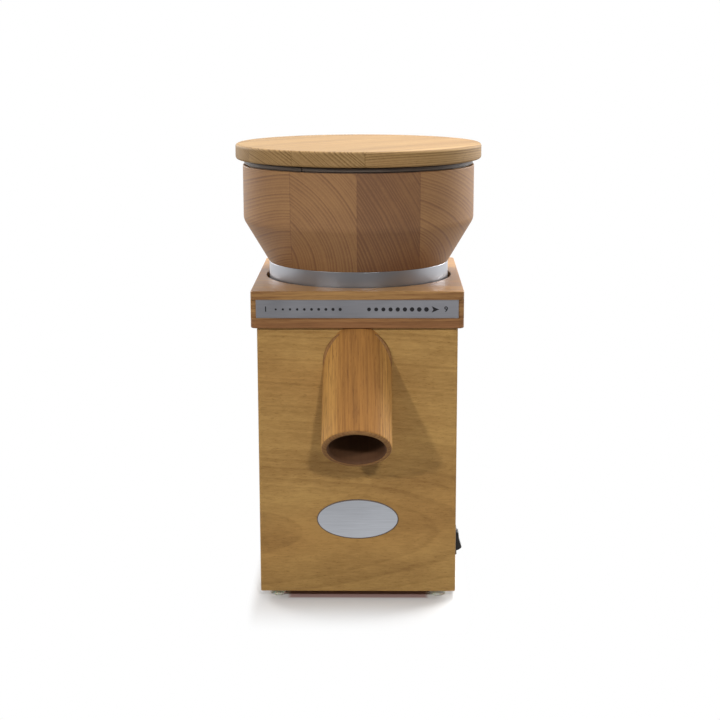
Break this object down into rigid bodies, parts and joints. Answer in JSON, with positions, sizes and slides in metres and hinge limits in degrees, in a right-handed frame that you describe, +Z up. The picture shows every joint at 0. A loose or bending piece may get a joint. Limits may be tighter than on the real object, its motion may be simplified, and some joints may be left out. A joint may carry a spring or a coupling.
{
  "type": "electric grain mill",
  "caption": "Wooden countertop grain mill: a lidded hopper turns on its thread to set the gap of the millstones above an upright motor, and flour leaves by a slanted spout.",
  "frame": {"origin": "on the mill's upright axis at the floor, midway between the feet", "axes": "+Z up along the shaft and hopper axis, the spout and scale face -Y, +X towards the side panel with the switch"},
  "size_m": [0.1812, 0.2311, 0.326],
  "materials": {
    "housing_wood": "oiled board, grain level",
    "frame_wood": "oiled board, grain along the front",
    "spout_wood": "oiled, turned",
    "hopper_wood": "oiled, turned from boards glued side by side, end grain to the front",
    "lid_wood": "oiled, turned from boards glued side by side",
    "block_wood": "sawn",
    "base_board": "hardboard",
    "ring_metal": "turned, fine brushing around",
    "scale_metal": "satin, brushed lengthwise",
    "badge_metal": "satin, brushed, bare",
    "cast_metal": "as cast and machined",
    "screw_steel": "zinc plated",
    "shaft_steel": "ground",
    "core_steel": "stacked sheets",
    "bearing_steel": "polished",
    "copper": "enamelled wire",
    "stone": "bonded grit, rough",
    "thread_plastic": "moulded",
    "fan_plastic": "moulded",
    "seal_rubber": "soft",
    "seal_felt": "pressed felt",
    "band_rubber": "dark, with one butt joint",
    "foot_rubber": "pale and slightly clear",
    "terminal_plastic": "moulded",
    "capacitor_can": "can",
    "switch_plastic": "moulded, black",
    "contact_brass": "tinned",
    "lead_plastic": "wire sheath",
    "sheath_plastic": "wire sheath",
    "gland_plastic": "moulded, black"
  },
  "bodies": {
    "housing": {"front_panel": "housing_wood", "rear_panel": "housing_wood", "left_panel": "housing_wood", "right_panel": "housing_wood", "base_plate": "base_board", "base_blocks": "block_wood", "top_blocks": "block_wood", "base_screws": "screw_steel", "frame_screws": "screw_steel", "feet": "foot_rubber", "top_frame": "frame_wood", "scale_plate": "scale_metal", "badge_plate": "badge_metal", "spout": "spout_wood", "milling_chamber": "cast_metal", "chamber_screws": "screw_steel", "thread_ring": "thread_plastic", "outlet_gasket": "seal_rubber", "shaft_seal": "seal_rubber", "stator_core": "core_steel", "stator_windings": "copper", "upper_shield": "cast_metal", "lower_shield": "cast_metal", "upper_bearing": "bearing_steel", "lower_bearing": "bearing_steel", "motor_bolts": "screw_steel", "capacitor": "capacitor_can", "capacitor_clip": "screw_steel", "terminal_block": "terminal_plastic", "switch_housing": "switch_plastic", "switch_terminals": "contact_brass", "switch_leads": "lead_plastic", "motor_lead": "sheath_plastic", "cord_gland": "gland_plastic"},
    "rotor": {"motor_shaft": "shaft_steel", "rotor_core": "core_steel", "cooling_fan": "fan_plastic", "stone_carrier": "cast_metal", "lower_stone": "stone", "stone_washer": "screw_steel", "stone_nut": "screw_steel"},
    "dust_seal": {"dust_seal": "seal_felt"},
    "hopper": {"hopper_bowl": "hopper_wood", "hopper_ring": "ring_metal", "rim_band": "band_rubber", "feed_throat": "screw_steel", "bowl_screws": "screw_steel", "stone_holder": "cast_metal", "holder_screws": "screw_steel", "upper_stone": "stone"},
    "lid": {"lid": "lid_wood"},
    "rocker": {"switch_rocker": "switch_plastic"}
  },
  "joints": [
    {"name": "hopper_turn", "type": "hinge", "parent": "housing", "child": "dust_seal", "pos_m": [0, 0, 0.208], "axis": [0, 0, 1], "range_deg": [0, 100]},
    {"name": "hopper_lift", "type": "slide", "parent": "dust_seal", "child": "hopper", "axis": [0, 0, 1], "range_m": [0, 0.0017]},
    {"name": "lid_lift", "type": "slide", "parent": "hopper", "child": "lid", "axis": [0, 0, 1], "range_m": [0, 0.12]},
    {"name": "rotor_spin", "type": "hinge", "parent": "housing", "child": "rotor", "pos_m": [0, 0, 0.11], "axis": [0, 0, 1], "continuous": true},
    {"name": "rocker_tip", "type": "hinge", "parent": "housing", "child": "rocker", "pos_m": [0.071, -0.047, 0.0348], "axis": [0, 1, 0], "range_deg": [0, 24]}
  ],
  "couplings": [
    {"joint": "hopper_lift", "follows": "hopper_turn", "m_per_rad": 0.00095493}
  ]
}
